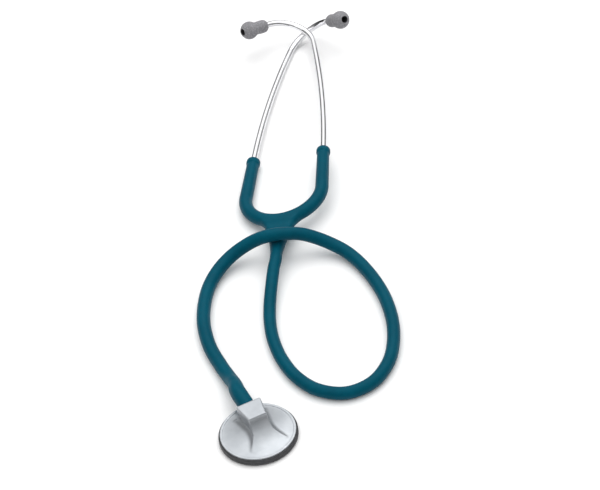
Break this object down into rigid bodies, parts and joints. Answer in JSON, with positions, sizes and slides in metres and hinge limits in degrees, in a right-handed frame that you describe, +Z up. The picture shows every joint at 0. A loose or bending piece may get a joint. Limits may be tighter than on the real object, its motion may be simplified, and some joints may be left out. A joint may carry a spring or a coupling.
{
  "type": "stethoscope",
  "caption": "Stethoscope lying flat: bent metal ear tubes with soft tips, a sprung moulded yoke, looped tubing and a round chestpiece with a block neck and a soft rim.",
  "frame": {"origin": "centre of the chestpiece's resting face, on the surface the object lies on", "axes": "+Z up from that surface, +Y from the chestpiece towards the ear tips, +X to the right of the headset as seen from the chestpiece"},
  "size_m": [0.1344, 0.4117, 0.0339],
  "materials": {
    "grey_rubber": "matt",
    "core_plastic": "matt",
    "polished_tube": "polished",
    "teal_moulding": "satin",
    "spring_steel": "brushed",
    "stem_metal": "machined",
    "satin_metal": "satin",
    "charcoal_rubber": "matt",
    "diaphragm_sheet": "matt"
  },
  "bodies": {
    "frame": {"yoke": "teal_moulding", "spring_leaf_outer": "spring_steel", "spring_leaf_inner": "spring_steel", "tubing": "teal_moulding", "chestpiece_stem": "stem_metal", "chestpiece_body": "satin_metal", "rim_ring": "charcoal_rubber", "diaphragm_surround": "charcoal_rubber"},
    "left_ear": {"ear_tube_left": "polished_tube", "spring_clip_left": "spring_steel"},
    "right_ear": {"ear_tube_right": "polished_tube", "spring_clip_right": "spring_steel"},
    "left_tip": {"ear_tip_left": "grey_rubber", "ear_tip_core_left": "core_plastic"},
    "right_tip": {"ear_tip_right": "grey_rubber", "ear_tip_core_right": "core_plastic"},
    "membrane": {"diaphragm": "diaphragm_sheet"}
  },
  "joints": [
    {"name": "right_ear_open", "type": "hinge", "parent": "frame", "child": "right_ear", "pos_m": [0.04677, 0.18574, 0.01173], "axis": [0.9611, -0.1816, -0.2079], "range_deg": [0, 34], "stiffness_Nm_per_rad": 0.9, "springref_deg": -6.88, "deforming": ["yoke", "spring_leaf_outer", "spring_leaf_inner"]},
    {"name": "left_ear_open", "type": "hinge", "parent": "frame", "child": "left_ear", "pos_m": [0.02346, 0.19008, 0.00797], "axis": [0, 0, 1], "range_deg": [0, 13.6], "stiffness_Nm_per_rad": 0.9, "springref_deg": -2.86, "deforming": ["yoke", "spring_leaf_outer", "spring_leaf_inner"]},
    {"name": "left_tip_turn", "type": "hinge", "parent": "left_ear", "child": "left_tip", "pos_m": [0.1015, 0.35902, 0.03051], "axis": [0.4997, -0.7004, 0.5097], "continuous": true},
    {"name": "right_tip_turn", "type": "hinge", "parent": "right_ear", "child": "right_tip", "pos_m": [0.0291, 0.37073, 0.02479], "axis": [-0.8383, -0.4851, 0.2489], "continuous": true},
    {"name": "diaphragm_press", "type": "slide", "parent": "frame", "child": "membrane", "axis": [0, 0, 1], "range_m": [0, 0.0003], "stiffness_N_per_m": 3000}
  ],
  "couplings": [
    {"joint": "left_ear_open", "follows": "right_ear_open", "ratio": 0.4}
  ]
}
